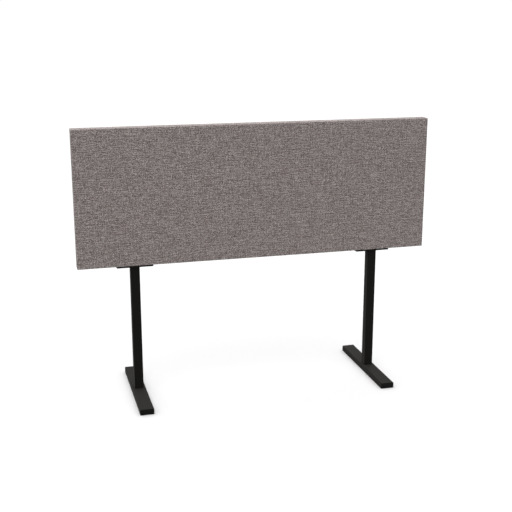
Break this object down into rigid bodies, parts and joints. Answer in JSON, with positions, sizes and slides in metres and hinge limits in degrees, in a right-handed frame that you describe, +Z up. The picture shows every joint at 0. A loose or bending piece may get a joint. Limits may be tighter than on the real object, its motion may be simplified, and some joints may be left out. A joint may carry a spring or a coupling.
{
  "type": "acoustic divider screen",
  "caption": "Free-standing acoustic divider screen: a fabric-covered sound-absorbing panel on two black steel T-legs with levelling glides under the feet.",
  "frame": {"origin": "on the floor, midway between the legs and midway through the panel's depth, with the glides screwed fully in", "axes": "+X along the panel's width, +Y from the front face to the back, +Z up"},
  "size_m": [1.6, 0.51, 1.2],
  "materials": {
    "cover_fabric": "woven melange in warm greys",
    "wadding": "soft polyester wadding",
    "absorber": "recycled fibre felt slab",
    "closing_strip": "black non-woven",
    "frame_timber": "planed softwood",
    "dowel_timber": "beech",
    "black_steel": "fine matt powder coat",
    "black_bolts": "black oxide",
    "zinc_steel": "bright zinc",
    "glide_plastic": "moulded nylon"
  },
  "bodies": {
    "screen": {"top_rail": "frame_timber", "bottom_rail": "frame_timber", "left_stile": "frame_timber", "right_stile": "frame_timber", "left_mullion": "frame_timber", "right_mullion": "frame_timber", "frame_dowels": "dowel_timber", "left_core_slab": "absorber", "middle_core_slab": "absorber", "right_core_slab": "absorber", "front_wadding": "wadding", "back_wadding": "wadding", "left_panel_inserts": "zinc_steel", "right_panel_inserts": "zinc_steel", "front_cover": "cover_fabric", "back_cover": "cover_fabric", "bottom_closing_strip": "closing_strip", "left_mount_plate": "black_steel", "left_plate_bolts": "black_bolts", "left_post": "black_steel", "left_post_base_plate": "black_steel", "left_foot": "black_steel", "left_foot_washers": "zinc_steel", "left_foot_bolts": "zinc_steel", "left_glide_nut_plates": "black_steel", "right_mount_plate": "black_steel", "right_plate_bolts": "black_bolts", "right_post": "black_steel", "right_post_base_plate": "black_steel", "right_foot": "black_steel", "right_foot_washers": "zinc_steel", "right_foot_bolts": "zinc_steel", "right_glide_nut_plates": "black_steel"},
    "left_front_pad": {"left_front_glide_pad": "glide_plastic"},
    "left_front_screw": {"left_front_glide_screw": "zinc_steel"},
    "left_back_pad": {"left_back_glide_pad": "glide_plastic"},
    "left_back_screw": {"left_back_glide_screw": "zinc_steel"},
    "right_front_pad": {"right_front_glide_pad": "glide_plastic"},
    "right_front_screw": {"right_front_glide_screw": "zinc_steel"},
    "right_back_pad": {"right_back_glide_pad": "glide_plastic"},
    "right_back_screw": {"right_back_glide_screw": "zinc_steel"}
  },
  "joints": [
    {"name": "left_front_glide_slide", "type": "slide", "parent": "screen", "child": "left_front_pad", "axis": [0, 0, -1], "range_m": [0, 0.008]},
    {"name": "left_front_screw_turn", "type": "hinge", "parent": "left_front_pad", "child": "left_front_screw", "pos_m": [-0.552, -0.217, 0.012], "axis": [0, 0, -1], "range_deg": [0, 2304]},
    {"name": "left_back_glide_slide", "type": "slide", "parent": "screen", "child": "left_back_pad", "axis": [0, 0, -1], "range_m": [0, 0.008]},
    {"name": "left_back_screw_turn", "type": "hinge", "parent": "left_back_pad", "child": "left_back_screw", "pos_m": [-0.552, 0.217, 0.012], "axis": [0, 0, -1], "range_deg": [0, 2304]},
    {"name": "right_front_glide_slide", "type": "slide", "parent": "screen", "child": "right_front_pad", "axis": [0, 0, -1], "range_m": [0, 0.008]},
    {"name": "right_front_screw_turn", "type": "hinge", "parent": "right_front_pad", "child": "right_front_screw", "pos_m": [0.552, -0.217, 0.012], "axis": [0, 0, -1], "range_deg": [0, 2304]},
    {"name": "right_back_glide_slide", "type": "slide", "parent": "screen", "child": "right_back_pad", "axis": [0, 0, -1], "range_m": [0, 0.008]},
    {"name": "right_back_screw_turn", "type": "hinge", "parent": "right_back_pad", "child": "right_back_screw", "pos_m": [0.552, 0.217, 0.012], "axis": [0, 0, -1], "range_deg": [0, 2304]}
  ],
  "couplings": [
    {"joint": "left_front_glide_slide", "follows": "left_front_screw_turn", "m_per_rad": 0.00019894},
    {"joint": "left_back_glide_slide", "follows": "left_back_screw_turn", "m_per_rad": 0.00019894},
    {"joint": "right_front_glide_slide", "follows": "right_front_screw_turn", "m_per_rad": 0.00019894},
    {"joint": "right_back_glide_slide", "follows": "right_back_screw_turn", "m_per_rad": 0.00019894}
  ]
}
